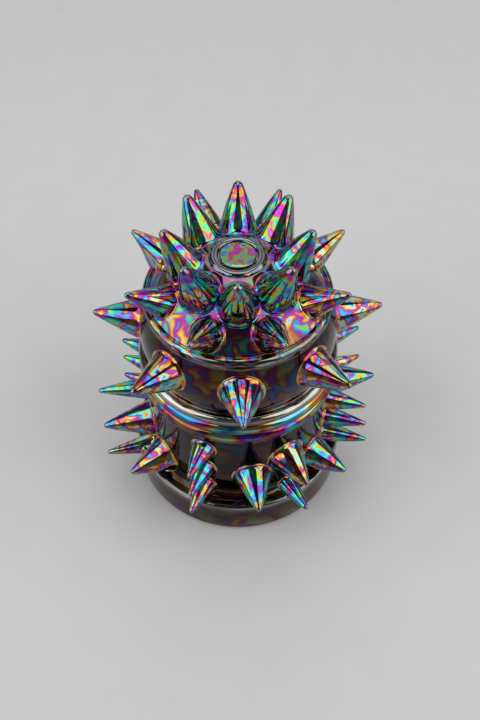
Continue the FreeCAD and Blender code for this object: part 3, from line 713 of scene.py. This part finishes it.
def skin_radius(skin, height):
    """Radius of the barrel at a height."""
    wall = skin[(skin[:, 1] > BAND_LOW) & (skin[:, 1] < BAND_HIGH) & (skin[:, 0] > LID_BORE + 0.5)]
    return float(np.interp(height, wall[:, 1], wall[:, 0]))


for node, turned, distance, height, *shape, films in SPIKE_RINGS:
    if height is None:
        height = skin_height(lid_skin, distance)
    if distance is None:
        distance = skin_radius(lid_skin, height)
    ring = [spike(lid_skin, turned + 360 / RING_OF * k, distance, height, *shape) for k in range(RING_OF)]
    spike_set(node.replace("spikes", "spike_glass"), ring, "lid", node, *films)

# %% [markdown]
# The jar's spikes are set by hand, large ones singly and small ones mostly in upright rows of three,
# so their places are a list: the turn from the front, the height, and how far each one stands out.

# %% Jar spikes
LARGE_SPIKES = (
    (-131, 22.5, 14.4), (-77, 26.4, 17.4), (-55, 19.7, 14.3), (9, 25.4, 13.7), (31, 31.8, 13.4),
    (55, 21.0, 14.3), (97, 34.0, 17.6), (141, 24.0, 14.4), (-172, 25.4, 14.0), (-150, 33.0, 14.0),
)
SMALL_SPIKES = (
    (-112, 40.5, 13.7), (-112, 30.8, 14.3), (-112, 20.0, 15.2), (-85, 38.0, 17.4), (-75, 12.1, 18.0),
    (-21.5, 39.7, 12.1), (-21.5, 28.6, 12.4), (-21.5, 18.1, 12.7), (32.5, 14.3, 13.0),
    (75.5, 38.7, 13.7), (75.5, 28.6, 14.9), (75.5, 19.2, 15.9), (114, 27.6, 18.0), (118, 40.0, 18.4),
    (163, 38.1, 13.4), (163, 27.6, 13.8), (163, 17.5, 14.2), (-152, 15.0, 13.6),
)
jar_skin = outline([(WAIST, 0), *FOOT_SKIN, *JAR_SKIN, (JAR_BORE, JAR_TOP)], spacing=0.4, soft=0.2)
large = [spike(jar_skin, turned, WAIST, height, lean=0, wide=6.55, tip=0.95, length=length, flare=0.75)
         for turned, height, length in LARGE_SPIKES]
small = [spike(jar_skin, turned, WAIST, height, lean=0, wide=4.15, tip=0.75, length=length, flare=0.55,
               columns=40)
         for turned, height, length in SMALL_SPIKES]
spike_set("large_jar_spike_glass", large, "base", "base_large_spikes", 235)
spike_set("small_jar_spike_glass", small, "base", "base_small_spikes", 240)

# %% [markdown]
# ## The working parts
# The bowl and the lid's cutter are turned from aluminium and anodised dark, so fine tool lines run
# round them.  Rings that follow the axis are a noise on the radius and the height alone.  The teeth
# are ground steel, the magnets nickel-plated and their covers brushed.  Silicone sleeves bond metal
# to glass, the seal on the bowl's plug is rubber, and the glide ring is nylon.


# %% Metal, rubber and plastic
def round_lines(add, spacing):
    """A noise that is the same all the way round: it reads (radius, 0, height)."""
    parts = add("SeparateXYZ", {0: add("TexCoord").outputs["Object"]})
    flat = add("CombineXYZ", {0: parts.outputs[0], 1: parts.outputs[1]})
    radius = add("VectorMath", {0: flat.outputs[0]}, operation="LENGTH")
    read = add("CombineXYZ", {0: radius.outputs["Value"], 2: parts.outputs[2]})
    return add("TexNoise", {"Vector": read.outputs[0], "Scale": 1 / (spacing * MM), "Detail": 3.0,
                            "Roughness": 0.6})


def turned_metal(name, colour, roughness, spacing, depth):
    """Metal with tool lines round the axis, lighter on the ridges."""
    material, add = new_material(name)
    lines = round_lines(add, spacing)
    tone = add("Mix", {"Factor": lines.outputs[0], "A": (*[c * 0.78 for c in colour], 1),
                       "B": (*[c * 1.18 for c in colour], 1)}, data_type="RGBA")
    gloss = add("MapRange", {"Value": lines.outputs[0], "To Min": roughness * 0.75,
                             "To Max": roughness * 1.3})
    bump = add("Bump", {"Height": lines.outputs[0], "Distance": depth, "Strength": 0.6})
    shader = add("BsdfPrincipled", {"Base Color": mix_colour(tone), "Metallic": 1.0,
                                    "Roughness": gloss.outputs[0], "Normal": bump.outputs[0]})
    add("OutputMaterial", {"Surface": shader.outputs[0]})
    return material


def soft_stuff(name, colour, roughness, grain, depth):
    """Rubber or nylon: a fine grain and a slight change of tone."""
    material, add = new_material(name)
    spot = add("TexNoise", {"Vector": add("TexCoord").outputs["Object"], "Scale": 1 / (grain * MM),
                            "Detail": 4.0})
    tone = add("Mix", {"Factor": spot.outputs[0], "A": (*[c * 0.85 for c in colour], 1),
                       "B": (*[min(1, c * 1.12) for c in colour], 1)}, data_type="RGBA")
    gloss = add("MapRange", {"Value": spot.outputs[0], "To Min": roughness * 0.85,
                             "To Max": roughness * 1.15})
    bump = add("Bump", {"Height": spot.outputs[0], "Distance": depth, "Strength": 0.5})
    shader = add("BsdfPrincipled", {"Base Color": mix_colour(tone), "Roughness": gloss.outputs[0],
                                    "Normal": bump.outputs[0]})
    add("OutputMaterial", {"Surface": shader.outputs[0]})
    return material


def dress(material, *nodes):
    """Gives frame pieces a finish, leaving their meshes alone."""
    for node in nodes:
        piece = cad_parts[node]
        piece.data.materials.clear()
        piece.data.materials.append(material)
    print(f"{material.name:24s} on {', '.join(nodes)}")


# A metal has its colour, its roughness, the spacing of its tool lines in millimetres and their depth
# in metres; a soft material has its colour, its roughness, and the size and depth of its grain.
dress(turned_metal("dark_anodised_aluminium", (0.20, 0.20, 0.21), 0.32, 0.16, 0.00002),
      "cutter_bowl", "lid_cutter")
dress(turned_metal("ground_steel", (0.60, 0.60, 0.61), 0.24, 0.30, 0.00001), "bowl_teeth", "lid_teeth")
dress(turned_metal("nickel_plate", (0.68, 0.66, 0.62), 0.16, 1.2, 0.000005), "bowl_magnet", "lid_magnet")
dress(turned_metal("brushed_cover", (0.56, 0.56, 0.58), 0.28, 0.12, 0.00001),
      "bowl_magnet_cover", "lid_magnet_cover")
dress(soft_stuff("silicone_bond", (0.16, 0.16, 0.17), 0.55, 0.5, 0.00003),
      "collar_bond_sleeve", "lid_bond_sleeve")
dress(soft_stuff("seal_rubber", (0.035, 0.035, 0.037), 0.6, 0.4, 0.00003), "plug_seal_ring")
dress(soft_stuff("nylon", (0.78, 0.78, 0.75), 0.42, 0.6, 0.00002), "glide_ring")

# %% [markdown]
# ## The studio
# Polished glass shows what stands round it.  Two large soft boxes, left and right, draw the long
# bright streaks down each spike and leave a dark stripe between them; a weaker one behind and a
# small one above light the dome.


# %% Lights
def look(from_point, to_point):
    """Rotation that points an object's -Z axis from one point to another."""
    way = [b - a for a, b in zip(from_point, to_point)]
    flat = math.hypot(way[0], way[1])
    return (math.atan2(flat, -way[2]), 0.0, math.atan2(way[1], way[0]) - math.pi / 2)


def soft_box(name, place_at, aim, width, height, power):
    """A rectangle of light, in metres and watts, that the camera itself doesn't see."""
    light = bpy.data.lights.new(name, "AREA")
    light.shape, light.size, light.size_y, light.energy = "RECTANGLE", width, height, power
    lamp = bpy.data.objects.new(name, light)
    lamp.location, lamp.rotation_euler = place_at, look(place_at, aim)
    lamp.visible_camera = False
    bpy.context.scene.collection.objects.link(lamp)
    print(f"{name:10s} {width:.2f} by {height:.2f} m, {math.dist(place_at, aim):.2f} m away, {power} W")


MIDDLE = (0, 0, 0.06)
soft_box("left_box", (-0.52, -0.16, 0.44), MIDDLE, 0.80, 0.72, 3.5)
soft_box("right_box", (0.52, -0.16, 0.44), MIDDLE, 0.80, 0.72, 3.5)
soft_box("back_box", (0.0, 0.62, 0.56), MIDDLE, 1.00, 0.90, 2.3)
soft_box("top_box", (0.0, 0.16, 0.95), MIDDLE, 0.55, 0.55, 1.5)

# %% [markdown]
# The floor is a wide pale dish.  Its rim is a quarter round more than a metre high, so that it meets
# the room without a hard line.  A plane would end at a horizon that the polished glass shows.

# %% Floor
FLOOR_FLAT = 600                          # radius of the flat middle, in millimetres
FLOOR_RIM = 1200                          # radius of the quarter round
FLOOR_DROP = 0.2                          # how far the floor lies under the foot
FLOOR_THICK = 8
FLOOR_OUTSIDE = FLOOR_RIM + FLOOR_THICK
dish = outline([
    (0, -FLOOR_DROP - FLOOR_THICK),
    (FLOOR_FLAT, -FLOOR_DROP - FLOOR_THICK, quarter(FLOOR_OUTSIDE)),
    (FLOOR_FLAT + FLOOR_OUTSIDE, FLOOR_RIM),
    (FLOOR_FLAT + FLOOR_RIM, FLOOR_RIM, -quarter(FLOOR_RIM)),
    (FLOOR_FLAT, -FLOOR_DROP),
    (0, -FLOOR_DROP),
], spacing=25, soft=3)
material, add = new_material("pale_floor")
speck = add("TexNoise", {"Vector": add("TexCoord").outputs["Object"], "Scale": 60.0, "Detail": 3.0})
tone = add("Mix", {"Factor": speck.outputs[0], "A": (0.56, 0.56, 0.57, 1), "B": (0.60, 0.60, 0.60, 1)},
           data_type="RGBA")
shader = add("BsdfPrincipled", {"Base Color": mix_colour(tone), "Roughness": 0.6})
add("OutputMaterial", {"Surface": shader.outputs[0]})
floor = bpy.data.objects.new("floor", closed_mesh("floor", [turn(dish, 96)], False, {}))
floor.data.materials.append(material)
bpy.context.scene.collection.objects.link(floor)

# %% [markdown]
# The room is a pale grey at the horizon and nearly dark overhead, so the undersides of the glass stay
# legible and its top stays black between the lights.  The height of the line of sight is the third
# part of the world's own coordinates.

# %% Room
HORIZON = (0.32, 0.32, 0.33, 1)
OVERHEAD = (0.05, 0.05, 0.055, 1)
world = bpy.data.worlds.new("studio")
bpy.context.scene.world = world
world.use_nodes = True
world.node_tree.nodes.clear()
add = node_maker(world)
up = add("SeparateXYZ", {0: add("TexCoord").outputs["Generated"]})
level = add("MapRange", {"Value": up.outputs[2], "From Min": 0.0, "From Max": 0.75,
                         "To Min": 0.0, "To Max": 1.0})
sky = add("Mix", {"Factor": level.outputs[0], "A": HORIZON, "B": OVERHEAD}, data_type="RGBA")
back = add("Background", {"Color": mix_colour(sky), "Strength": 1.0})
add("OutputWorld", {"Surface": back.outputs[0]})
print("the room:", len(world.node_tree.nodes), "nodes, from", HORIZON[:3], "up to", OVERHEAD[:3])

# %% [markdown]
# ## The camera
# The view looks down on the front at about fifty degrees from close by, so that the rings of spikes
# open out into a star.

# %% Camera
CAMERA_AT = (0.0006, -0.1890, 0.2850)     # metres
CAMERA_TILT = 38.782                      # degrees from straight down
lens = bpy.data.cameras.new("camera")
lens.lens, lens.sensor_width = 44.54, 36.0  # millimetres
lens.clip_start, lens.clip_end = 0.01, 20.0
camera = bpy.data.objects.new("camera", lens)
camera.location = CAMERA_AT
camera.rotation_euler = (math.radians(CAMERA_TILT), 0.0, 0.0)
bpy.context.scene.collection.objects.link(camera)
bpy.context.scene.camera = camera
bpy.context.scene.view_settings.view_transform = "Standard"
print(f"camera {math.dist(CAMERA_AT, MIDDLE):.3f} m off, looking down at {90 - CAMERA_TILT:.1f} degrees")

# %% [markdown]
# ## End
